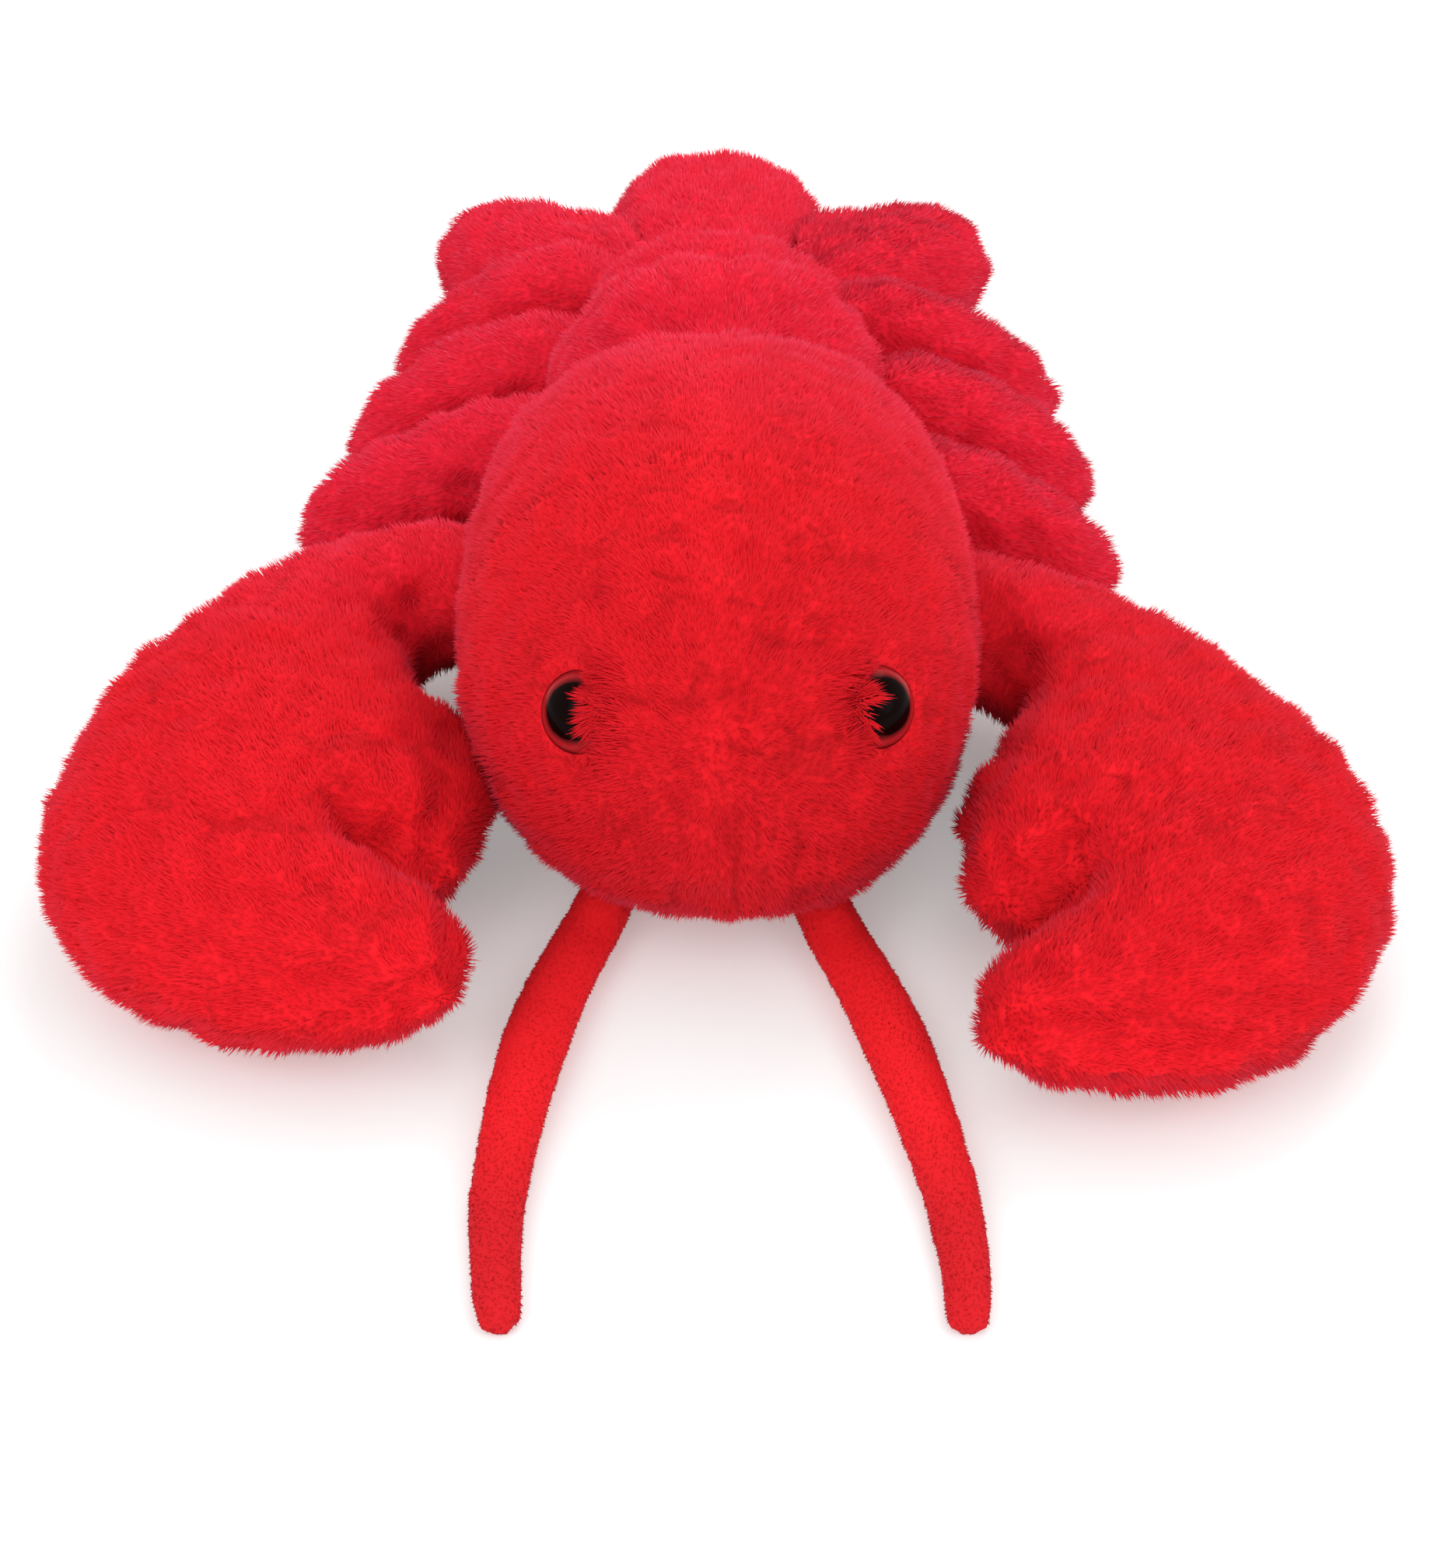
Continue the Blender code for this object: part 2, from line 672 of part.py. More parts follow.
def clearance_copy(item):
    """A cutter: the item as it is now, grown by the seam gap."""
    mesh = item.data.copy()
    spots = [v.co + v.normal * SEAM_GAP for v in mesh.vertices]
    for vertex, spot in zip(mesh.vertices, spots):
        vertex.co = spot
    cutter = bpy.data.objects.new(item.name + "_clearance", mesh)
    bpy.context.scene.collection.objects.link(cutter)
    cutter.matrix_world = item.matrix_world
    cutter.hide_render = True
    cutter.display_type = "WIRE"
    return cutter


def cut(item, cutter):
    modifier = item.modifiers.new("cut_" + cutter.name, "BOOLEAN")
    modifier.operation = "DIFFERENCE"
    modifier.object = cutter


def placed(x, y, z, turn=0.0):
    return Matrix.Translation((x, y, z)) @ Matrix.Rotation(turn, 4, "Z")


def side_name(side):
    return "left" if side < 0 else "right"


def build_body(finish, parent):
    return add_object("body", body_mesh(), finish, parent)


def build_claw(side, finish, parent):
    x = side * (body_side(CLAW_STATION) - CLAW_TUCK)
    place = placed(x, CLAW_STATION - side * CLAW_SWAY, CLAW_SEAM_HEIGHT)
    return add_object("claw_" + side_name(side), claw_mesh(side), finish, parent, place)


def build_leg(side, number, finish, parent):
    station = LEG_FIRST_STATION + number * LEG_PITCH
    x = side * (body_side(station) - LEG_TUCK)
    turn = -LEG_SWEEP if side > 0 else math.pi + LEG_SWEEP
    place = placed(x, station - side * LEG_SWAY, LEG_ROOT_HEIGHT, turn)
    name = "leg_" + side_name(side) + "_" + ("front", "middle", "rear")[number]
    return add_object(name, leg_mesh(LEG_REACHES[side > 0][number]), finish, parent, place)


def build_tail_middle(finish, parent):
    place = placed(0, BODY_REAR - TAIL_TUCK, TAIL_MIDDLE_SEAM_HEIGHT, math.pi / 2)
    mesh = tail_lobe_mesh(
        TAIL_MIDDLE_LENGTH, TAIL_MIDDLE_HALF_WIDTH, TAIL_MIDDLE_SEAM_HEIGHT, TAIL_MIDDLE_RISE
    )
    return add_object("tail_middle", mesh, finish, parent, place)


def build_tail_side(side, number, finish, parent):
    y = BODY_REAR - TAIL_TUCK - TAIL_SIDE_ROOT_STEPS[number]
    turn = TAIL_SIDE_TURNS[number] if side > 0 else math.pi - TAIL_SIDE_TURNS[number]
    height = TAIL_SIDE_SEAM_HEIGHTS[number]
    place = placed(side * TAIL_SIDE_ROOTS[number], y, height, turn)
    mesh = tail_lobe_mesh(
        TAIL_SIDE_LENGTHS[side > 0][number], TAIL_SIDE_HALF_WIDTHS[number], height, TAIL_SIDE_RISES[number]
    )
    name = "tail_" + side_name(side) + "_" + ("inner", "outer")[number]
    return add_object(name, mesh, finish, parent, place)


def build_antenna(side, finish, parent):
    place = placed(0, -CARAPACE_FRONT + ANTENNA_CHIN_TUCK, 0)
    return add_object("antenna_" + side_name(side), antenna_mesh(side), finish, parent, place)


def build_eye(side, finish, washer_finish, parent):
    place = eye_place(side)
    add_object("eye_" + side_name(side), eye_mesh(), finish, parent, place)
    add_object("eye_washer_" + side_name(side), washer_mesh(), washer_finish, parent, place)
    seat = add_object("eye_seat_" + side_name(side), eye_seat_mesh(), finish, parent, place)
    seat.hide_render = True
    seat.display_type = "WIRE"
    return seat


def main():
    clear_scene()
    fur, nap = material("fur_red", FUR_RED), material("nap_red", NAP_RED)
    eye_plastic, washer_plastic = material("eye_brown", EYE_BROWN), material("washer_white", WASHER_WHITE)
    lobster = bpy.data.objects.new("lobster", None)
    bpy.context.scene.collection.objects.link(lobster)

    body = build_body(fur, lobster)
    body_room = clearance_copy(body)
    middle = build_tail_middle(fur, lobster)
    middle_room = clearance_copy(middle)
    cut(middle, body_room)
    for side in (-1, 1):
        claw = build_claw(side, fur, lobster)
        legs = [build_leg(side, number, fur, lobster) for number in range(3)]
        inner, outer = (build_tail_side(side, number, fur, lobster) for number in range(2))
        antenna = build_antenna(side, nap, lobster)
        rear_leg_room, inner_room = clearance_copy(legs[-1]), clearance_copy(inner)
        for item in (claw, *legs, inner, outer, antenna):
            cut(item, body_room)
        cut(inner, middle_room)
        for cutter in (middle_room, inner_room, rear_leg_room):
            cut(outer, cutter)
        cut(body, build_eye(side, eye_plastic, washer_plastic, lobster))


main()
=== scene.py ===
# Looks of a plush lobster: stuffed cloth skins over the frame, and a pile of short strands grown on them.
import math

import bmesh
import bpy
import numpy as np
from mathutils import Matrix, Vector, noise
from mathutils.bvhtree import BVHTree


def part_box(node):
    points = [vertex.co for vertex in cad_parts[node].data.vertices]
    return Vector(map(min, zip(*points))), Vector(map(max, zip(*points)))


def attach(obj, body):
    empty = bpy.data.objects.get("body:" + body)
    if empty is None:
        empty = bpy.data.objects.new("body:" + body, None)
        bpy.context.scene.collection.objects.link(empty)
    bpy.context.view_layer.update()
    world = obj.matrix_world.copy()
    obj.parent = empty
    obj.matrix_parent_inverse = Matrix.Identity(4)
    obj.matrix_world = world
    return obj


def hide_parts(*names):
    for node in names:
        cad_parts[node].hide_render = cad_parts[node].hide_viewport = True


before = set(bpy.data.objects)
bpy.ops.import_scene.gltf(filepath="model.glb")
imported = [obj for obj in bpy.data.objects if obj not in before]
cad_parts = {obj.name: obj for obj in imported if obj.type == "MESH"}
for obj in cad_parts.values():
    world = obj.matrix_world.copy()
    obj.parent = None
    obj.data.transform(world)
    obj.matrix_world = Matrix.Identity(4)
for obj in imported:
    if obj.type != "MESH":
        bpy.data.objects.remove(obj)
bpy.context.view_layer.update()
print("frame loaded, nodes:", len(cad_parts))

scene = bpy.context.scene
scene.view_settings.view_transform = "Standard"

sides = ("left", "right")
limbs = [f"claw_{side}" for side in sides]
limbs += [f"leg_{side}_{place}" for side in sides for place in ("front", "middle", "rear")]
lobes = ["tail_middle"] + [f"tail_{side}_{place}" for side in sides for place in ("inner", "outer")]
antennae = [f"antenna_{side}" for side in sides]
eyes = [f"eye_{side}" for side in sides]
washers = [f"eye_washer_{side}" for side in sides]
mergeDistance = 1e-6


# Nodes are written as expressions on wires

class Wire:
    def __init__(self, graph, socket):
        self.graph, self.socket = graph, socket

    def maths(self, operation, *values):
        return self.graph.add("ShaderNodeMath", {"operation": operation}, dict(enumerate(values)))

    def __add__(self, other):
        return self.maths("ADD", self, other)

    def __sub__(self, other):
        return self.maths("SUBTRACT", self, other)

    def __rsub__(self, other):
        return self.maths("SUBTRACT", other, self)

    def __mul__(self, other):
        return self.maths("MULTIPLY", self, other)

    def __truediv__(self, other):
        return self.maths("DIVIDE", self, other)

    def __rtruediv__(self, other):
        return self.maths("DIVIDE", other, self)

    __radd__, __rmul__ = __add__, __mul__

    def absolute(self):
        return self.maths("ABSOLUTE", self)

    def clipped(self):
        return self.maths("MAXIMUM", self.maths("MINIMUM", self, 1.0), 0.0)

    def rising(self, start, rate):
        # 0 up to the start, then on to 1; with a rate below 0 it rises the other way
        return ((self - start) * rate).clipped()

    def ridge(self, width):
        # 1 where the wire is 0, and 0 from this width on
        return (1 - self.absolute() / width).clipped()

    def output(self, name):
        return Wire(self.graph, self.socket.node.outputs[name])


class Graph:
    def __init__(self, tree):
        self.tree = tree

    def add(self, kind, settings=None, inputs=None, output=0):
        node = self.tree.nodes.new(kind)
        for name, value in (settings or {}).items():
            if name == "stops":
                stops = node.color_ramp.elements
                while len(stops) < len(value):
                    stops.new(1.0)
                for stop, (place, colour) in zip(stops, value):
                    stop.position, stop.color = place, (*colour, 1)
            else:
                setattr(node, name, value)
        for name, value in (inputs or {}).items():
            if isinstance(value, Wire):
                self.tree.links.new(value.socket, node.inputs[name])
            else:
                node.inputs[name].default_value = value
        return Wire(self, node.outputs[output]) if node.outputs else node

    def vector(self, operation, *values):
        return self.add("ShaderNodeVectorMath", {"operation": operation}, dict(enumerate(values)))

    def scaled(self, vector, factor):
        return self.add("ShaderNodeVectorMath", {"operation": "SCALE"}, {0: vector, "Scale": factor})

    def split(self, vector):
        first = self.add("ShaderNodeSeparateXYZ", None, {0: vector})
        return first, first.output("Y"), first.output("Z")

    def mix(self, factor, first, second):
        return self.add("ShaderNodeMix", {"data_type": "RGBA"}, {0: factor, 6: first, 7: second}, output=2)

    def noise(self, place, scale, detail=2.0):
        return self.add("ShaderNodeTexNoise", None, {"Vector": place, "Scale": scale, "Detail": detail})


parting = {
    "scale": 75.0,
    "detail": 1.5,
    "width": 0.040,
    "stretch": (0.55, 1.0, 1.25),
    "breakScale": 125.0,
    "breakFrom": (0.485, 9.0),  # pairs named From are the start and the rate of a rise
    "tuftStretch": (250.0, 50.0, 50.0),  # the snout's pile hangs in narrow tufts
    "tuftWidth": 0.10,
    "tuftBreakFrom": (0.60, -7.0),
    "tuftSideFrom": (0.026, -120.0),
    "tuftStationFrom": (-0.050, -90.0),
    "tuftHeightFrom": (0.052, -90.0),
}


def partings(graph, place):
    # short curved lines where the pile opens, 1 on the line; the strands and the colours read the same ones,
    # the colours as painted shade
    spread = graph.vector("MULTIPLY", place, parting["stretch"])
    line = (graph.noise(spread, parting["scale"], parting["detail"]) - 0.5).ridge(parting["width"])
    broken = graph.noise(place, parting["breakScale"], 0.0)
    line = line * broken.rising(*parting["breakFrom"])
    across, along, height = graph.split(place)
    snout = along.rising(*parting["tuftStationFrom"]) * height.rising(*parting["tuftHeightFrom"])
    snout = snout * across.absolute().rising(*parting["tuftSideFrom"])
    spread = graph.vector("MULTIPLY", place, parting["tuftStretch"])
    gaps = (graph.noise(spread, 1.0, 1.0) - 0.5).ridge(parting["tuftWidth"]) * snout
    gaps = gaps * broken.rising(*parting["tuftBreakFrom"])
    return line.maths("MAXIMUM", line * (1 - snout), gaps)


# Materials

def shaderGraph(name):
    made = bpy.data.materials.new(name)
    made.use_nodes = True
    shader = made.node_tree.nodes["Principled BSDF"]
    return made, Graph(made.node_tree), shader


def objectPlace(graph):
    return graph.add("ShaderNodeTexCoord").output("Object")


def storedValue(graph, name):
    return graph.add("ShaderNodeAttribute", {"attribute_name": name}).output("Fac")


furLook = {
    "root": (0.52, 0.006, 0.010, 1),  # painted shade: darker deep between the strands, at their roots and in the close pile under them
    "middle": (0.93, 0.0125, 0.023, 1),
    "middleShare": (0.80, 0.6),  # at a strand's root, and what it gains up to the tip
    "tip": (1.0, 0.018, 0.038, 1),
    "tipFrom": (0.45, 1.8),
    "tipShare": (0.2, 1.0),  # on every strand, and what a strand's own shade adds
    "grainScale": 1400.0,
    "grainShare": (0.70, 0.5),
    "paintedBackLightTint": (1.0, 0.023, 0.070, 1),  # painted light: the pile further back is pinker, as if lit from behind
    "paintedBackLightShare": 0.60,
    "paintedBackLightFrom": (-0.010, 14.0),
    "paintedHighlightTint": (1.0, 0.11, 0.20, 1),  # painted highlight: a few light hairs there, as if caught by light from behind
    "paintedHighlightFrom": (0.72, 8.0),
    "paintedHighlightTipFrom": (0.35, 2.0),
    "paintedHighlightShare": 0.75,
    "patchScale": 60.0,
    "patchShare": 0.10,
    "partingShadeShare": 0.54,
    "partingShadeFade": 0.55,  # what the partings' painted shade loses further back
    # painted shade: the head darkens towards the snout, in its middle
    "snoutFrom": (-0.018, -15.0),
    "snoutShadeSideFrom": (0.050, -100.0),
    "snoutShadeShare": 0.50,
    "roughness": 0.8,
    "specular": 0.1,
    "sheen": 0.14,
    "sheenRoughness": 0.4,
    "sheenTint": (1.0, 0.26, 0.50, 1),
}


def furMaterial(name, look, strands=True):
    # strands grade from root to tip, the root darker with painted shade, and the close pile under them has the
    # colour between
    made, graph, shader = shaderGraph(name)
    place = objectPlace(graph)
    if strands:
        tip, shade = storedValue(graph, "tip"), storedValue(graph, "shade")
        least, more = look["middleShare"]
        lower = graph.mix((least + more * tip).clipped(), look["root"], look["middle"])
        start, rate = look["tipFrom"]
        least, more = look["tipShare"]
        colour = graph.mix(((tip - start) * rate * (least + more * shade)).clipped(), lower, look["tip"])
        # painted highlight: the tips of a few strands, picked by their own shade value, are painted light
        light = shade.rising(*look["paintedHighlightFrom"]) * tip.rising(*look["paintedHighlightTipFrom"]) * look["paintedHighlightShare"]
    else:
        grain = graph.noise(place, look["grainScale"], 1.0)
        least, more = look["grainShare"]
        colour = graph.mix((least + more * grain).clipped(), look["root"], look["middle"])
    patch = graph.noise(place, look["patchScale"])
    across, along, _ = graph.split(place)
    # painted light: further back the pile is painted pinker and the nap brighter near the chin, and the
    # partings' painted shade fades
    back = along.rising(*look["paintedBackLightFrom"])
    colour = graph.mix(back * look["paintedBackLightShare"], colour, look["paintedBackLightTint"])
    if strands:
        colour = graph.mix(light * back, colour, look["paintedHighlightTint"])
    # painted shade: darker towards the snout
    snout = along.rising(*look["snoutFrom"]) * across.absolute().rising(*look["snoutShadeSideFrom"])
    # painted shade in the partings, where the pile opens
    lines = partings(graph, place) * (1 - look["partingShadeFade"] * back) * look["partingShadeShare"]
    # random colour patches, with the painted shade of partings and snout, darken toward the root colour
    patchesAndPaintedShade = patch * look["patchShare"] + lines + snout * look["snoutShadeShare"]
    colour = graph.mix(patchesAndPaintedShade.clipped(), colour, look["root"])
    made.node_tree.links.new(colour.socket, shader.inputs["Base Color"])
    shader.inputs["Roughness"].default_value = look["roughness"]
    shader.inputs["Specular IOR Level"].default_value = look["specular"]
    shader.inputs["Sheen Weight"].default_value = look["sheen"]
    shader.inputs["Sheen Roughness"].default_value = look["sheenRoughness"]
    shader.inputs["Sheen Tint"].default_value = look["sheenTint"]
    made.diffuse_color = look["middle"]
    return made


napLook = {
    **furLook,
    "middle": (0.66, 0.013, 0.020, 1),
    "tip": (0.69, 0.014, 0.023, 1),
    "paintedBackLightTint": (0.88, 0.015, 0.022, 1),  # painted light: brighter under the chin, where the head shades the antennae
    "paintedBackLightShare": 1.0,
    "paintedBackLightFrom": (-0.122, 40.0),
    "paintedHighlightShare": 0.0,
    "sheen": 0.05,
    "partingShadeShare": 0.0,
    "snoutShadeShare": 0.0,
}

eyeLook = {
    "stops": (
        (0.0, (0.004, 0.001, 0.001)),
        (0.66, (0.005, 0.001, 0.001)),
        (0.72, (0.130, 0.008, 0.009)),
        (0.84, (0.400, 0.013, 0.017)),
        (0.95, (0.300, 0.010, 0.013)),
        (1.0, (0.040, 0.002, 0.002)),
    ),
    "cloudScale": 500.0,
    "cloudShare": 0.06,
    "roughness": 0.14,
    "specular": 0.03,
    "plain": (0.03, 0.003, 0.003, 1),
    "shift": 0.0019,  # the pupil sits this far towards the snout's middle
}


def eyeMaterial(name, look):
    made, graph, shader = shaderGraph(name)
    ring = storedValue(graph, "ring")
    cloud = graph.noise(objectPlace(graph), look["cloudScale"])
    ring = ring + look["cloudShare"] * (cloud - 0.5)
    colour = graph.add("ShaderNodeValToRGB", {"stops": look["stops"]}, {"Fac": ring})
    made.node_tree.links.new(colour.socket, shader.inputs["Base Color"])
    shader.inputs["Roughness"].default_value = look["roughness"]
    shader.inputs["Specular IOR Level"].default_value = look["specular"]
    made.diffuse_color = look["plain"]
    return made


washerLook = {
    "grainScale": 1500.0,
    "dark": (0.70, 0.70, 0.67, 1),
    "light": (0.80, 0.80, 0.77, 1),
    "roughness": 0.45,
}


def plasticMaterial(name, look):
    made, graph, shader = shaderGraph(name)
    grain = graph.noise(objectPlace(graph), look["grainScale"])
    colour = graph.mix(grain, look["dark"], look["light"])
    made.node_tree.links.new(colour.socket, shader.inputs["Base Color"])
    shader.inputs["Roughness"].default_value = look["roughness"]
    return made


furRed = furMaterial("furRed", furLook)
furDeepRed = furMaterial("furDeepRed", furLook, strands=False)
napRed = furMaterial("napRed", napLook)
napDeepRed = furMaterial("napDeepRed", napLook, strands=False)
eyeBrown = eyeMaterial("eyeBrown", eyeLook)
washerWhite = plasticMaterial("washerWhite", washerLook)
print("materials made")


# Meshes

def newObject(name, mesh, *materials):
    made = bpy.data.objects.new(name, mesh)
    scene.collection.objects.link(made)
    for item in materials:
        mesh.materials.append(item)
    return made


def evaluatedMesh(item):
    graph = bpy.context.evaluated_depsgraph_get()
    source = item.evaluated_get(graph)
    return bpy.data.meshes.new_from_object(source, preserve_all_data_layers=True, depsgraph=graph)


def applied(item):
    # the mesh that the modifiers make replaces the item's own
    made = evaluatedMesh(item)
    item.modifiers.clear()
    item.data = made
    return item


def spotsOf(mesh):
    spots = np.empty(len(mesh.vertices) * 3)
    mesh.vertices.foreach_get("co", spots)
    return spots.reshape(-1, 3)


def normalsOf(mesh):
    normals = np.empty(len(mesh.vertices) * 3)
    mesh.vertex_normals.foreach_get("vector", normals)
    return normals.reshape(-1, 3)


def moveTo(mesh, spots):
    mesh.vertices.foreach_set("co", spots.ravel())
    mesh.update()


def setAttribute(mesh, name, kind, values):
    layer = mesh.attributes.new(name, kind, "POINT")
    field = "vector" if kind == "FLOAT_VECTOR" else "value"
    layer.data.foreach_set(field, np.asarray(values, float).ravel())


def cadCopy(node):
    # a closed copy of a node's loose triangles
    bm = bmesh.new()
    bm.from_mesh(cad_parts[node].data)
    bmesh.ops.remove_doubles(bm, verts=bm.verts, dist=mergeDistance)
    return bm


def ease(values, low, high):
    share = np.clip((values - low) / (high - low), 0, 1)
    return share * share * (3 - 2 * share)


# Where the eyes sit

eyeSeat = {
    "rimShare": 0.9,  # the rim is what reaches out at least this share of the eye's radius
    "band": 0.02,  # points further above or below an eye aren't near it
    "gap": 0.0002,
    "skinBlend": (0.0005, 0.006),  # distances from the rim between which the skin sinks to its depth
    "lumpBlend": (0.0, 0.004),
}


def eyePlace(node):
    # the eye's axis is the odd one out of its three principal axes, and height 0 is the rim's underside
    bm = cadCopy(node)
    spots = np.array([tuple(v.co) for v in bm.verts])
    bm.free()
    centre = spots.mean(0)
    _, sizes, axes = np.linalg.svd(spots - centre, full_matrices=False)
    axis = axes[0] if sizes[0] - sizes[1] > sizes[1] - sizes[2] else axes[2]
    height = (spots - centre) @ axis
    reach = np.linalg.norm(spots - centre - height[:, None] * axis, axis=1)
    wide = reach > eyeSeat["rimShare"] * reach.max()
    if height[wide].mean() < 0:
        axis, height = -axis, -height
    rim = centre + axis * height[wide].min()
    turn = Vector((0, 0, 1)).rotation_difference(Vector(axis)).to_matrix().to_4x4()
    return Matrix.Translation(rim) @ turn, reach.max()


eyePlaces = {node: eyePlace(node) for node in eyes}


def eyeReach(spots, place):
    # each point's distance from the eye's axis, endless for what is too far above or below the eye
    inverse = np.array(place.inverted())
    local = spots @ inverse[:3, :3].T + inverse[:3, 3]
    return np.where(abs(local[:, 2]) < eyeSeat["band"], np.linalg.norm(local[:, :2], axis=1), np.inf)


def clearOfEyes(spots, blend):
    # 0 at the eyes' rims and 1 well away from them
    share = np.ones(len(spots))
    for place, radius in eyePlaces.values():
        share *= ease(eyeReach(spots, place), radius + blend[0], radius + blend[1])
    return share


def closeEyeSeats(bm):
    # the shank's hole and the washer's pocket go, and a shallow seat stays
    for place, radius in eyePlaces.values():
        spots = np.array([tuple(v.co) for v in bm.verts])
        inside = eyeReach(spots, place) < radius + eyeSeat["gap"]
        bm.verts.ensure_lookup_table()
        bmesh.ops.delete(bm, geom=[bm.verts[i] for i in np.flatnonzero(inside)], context="VERTS")
        bmesh.ops.holes_fill(bm, edges=[edge for edge in bm.edges if edge.is_boundary], sides=0)
    bmesh.ops.triangulate(bm, faces=[face for face in bm.faces if len(face.verts) > 4])


# Skins

skinSizes = {
    "bodyVoxel": 0.0046,
    "limbVoxel": 0.0038,
    "napVoxel": 0.0019,
    "furDepth": 0.0014,  # the close pile under the loose tips lies this far inside the solid
    "napDepth": 0.0,
    "lumps": {"head": 0.0013, "puffs": 0.0024, "limbs": 0.0017},  # height of the pile's uneven ends
    "lumpPitch": 0.0060,
    "puffsFrom": (0.042, 0.060),  # stations between which the head's lumps give way to the puffs'
    "lumpsFrom": (0.002, 0.008),  # heights between which the lumps set in
    "rootReach": 0.0042,  # a limb's root runs on into the body
    "rootBlend": (0.0012, 0.0065),  # distances from the body between which that fades out
    "heldFrom": 0.3,
    "floorRest": 0.0008,  # pile pressed under the toy
    "pressure": 4.0,
    "swell": 0.0010,  # the most that stuffing may push a point
    "frames": 20,
    "smoothing": 0.5,
    "fill": 0.8,
}

bodyCad = cadCopy("body")
closeEyeSeats(bodyCad)
bodyTree = BVHTree.FromBMesh(bodyCad)


def nearBody(spots):
    # nearness to the body's surface from 0 to 1, the way into the body, and the height over its surface
    distances, heights, ways = np.zeros(len(spots)), np.zeros(len(spots)), np.zeros((len(spots), 3))
    for i, spot in enumerate(spots):
        found, normal, _, distances[i] = bodyTree.find_nearest(Vector(spot))
        ways[i], heights[i] = -normal, (Vector(spot) - found).dot(normal)
    return 1 - ease(distances, *skinSizes["rootBlend"]), ways, heights


def skinOf(node, voxel, depth, material):
    mesh = bpy.data.meshes.new(node + "_skin")
    bm = bodyCad.copy() if node == "body" else cadCopy(node)
    bm.to_mesh(mesh)
    bm.free()
    skin = newObject(node + "_skin", mesh, material)
    remesh = skin.modifiers.new("remesh", "REMESH")
    remesh.mode, remesh.voxel_size, remesh.use_smooth_shade = "VOXEL", voxel, True
    applied(skin)
    spots = spotsOf(skin.data)
    moves = -depth * normalsOf(skin.data)
    if node == "body":
        moves *= clearOfEyes(spots, eyeSeat["skinBlend"])[:, None]
        held = np.zeros(len(spots))
    else:
        held, ways, _ = nearBody(spots)
        moves = moves * (1 - held)[:, None] + skinSizes["rootReach"] * ways * held[:, None]
    spots += moves
    spots[:, 2] = np.maximum(spots[:, 2], min(depth, skinSizes["floorRest"]))
    moveTo(skin.data, spots)
    group = skin.vertex_groups.new(name="held")
    for i in np.flatnonzero(held > skinSizes["heldFrom"]):
        group.add([int(i)], 1.0, "REPLACE")
    return skin


skins = {"body": skinOf("body", skinSizes["bodyVoxel"], skinSizes["furDepth"], furDeepRed)}
for node in limbs + lobes:
    skins[node] = skinOf(node, skinSizes["limbVoxel"], skinSizes["furDepth"], furDeepRed)
for node in antennae:
    skins[node] = skinOf(node, skinSizes["napVoxel"], skinSizes["napDepth"], napDeepRed)
print("skins cut:", len(skins))


def stuff(items):
    # pressure fills every skin at once, then each point's move is capped
    before = {item.name: spotsOf(item.data) for item in items}
    for item in items:
        cloth = item.modifiers.new("cloth", "CLOTH")
        cloth.settings.use_pressure = True
        cloth.settings.uniform_pressure_force = skinSizes["pressure"]
        cloth.settings.effector_weights.gravity = 0
        cloth.settings.vertex_group_mass = "held"
        cloth.point_cache.frame_start, cloth.point_cache.frame_end = 1, skinSizes["frames"]
    for number in range(1, skinSizes["frames"] + 1):
        scene.frame_set(number)
    for item in items:
        start = before[item.name]
        moved = applied(item).data
        moves = spotsOf(moved) - start
        size = np.linalg.norm(moves, axis=1)
        moves *= (np.minimum(size, skinSizes["swell"]) / np.maximum(size, 1e-9))[:, None]
        spots = start + moves
        spots[:, 2] = np.maximum(spots[:, 2], start[:, 2].min())
        moveTo(moved, spots)
    scene.frame_set(1)


def roughen(mesh, node):
    # a pile's face is never quite even: soft lumps a few millimetres apart, none where it is pressed flat
    spots, normals, lumps = spotsOf(mesh), normalsOf(mesh), skinSizes["lumps"]
    puffs = ease(spots[:, 1], *skinSizes["puffsFrom"])
    lumps = lumps["head"] * (1 - puffs) + lumps["puffs"] * puffs if node == "body" else lumps["limbs"]
    waves = np.array([noise.noise(Vector(spot) / skinSizes["lumpPitch"]) for spot in spots])
    loose = ease(spots[:, 2], *skinSizes["lumpsFrom"]) * clearOfEyes(spots, eyeSeat["lumpBlend"])
    moveTo(mesh, spots + normals * (lumps * waves * loose)[:, None])


stuff([skins[node] for node in ["body"] + limbs + lobes])
print("skins stuffed")

for node, skin in skins.items():
    smooth = skin.modifiers.new("smooth", "SMOOTH")
    smooth.factor, smooth.iterations = skinSizes["smoothing"], 0 if node in antennae else 2
    finer = skin.modifiers.new("finer", "SUBSURF")
    finer.levels = finer.render_levels = 0 if node in antennae else 1
    applied(skin)
    if node not in antennae:
        roughen(skin.data, node)
    skin.data.name = skin.name
    skin.data.shade_smooth()


# Which way the pile lies

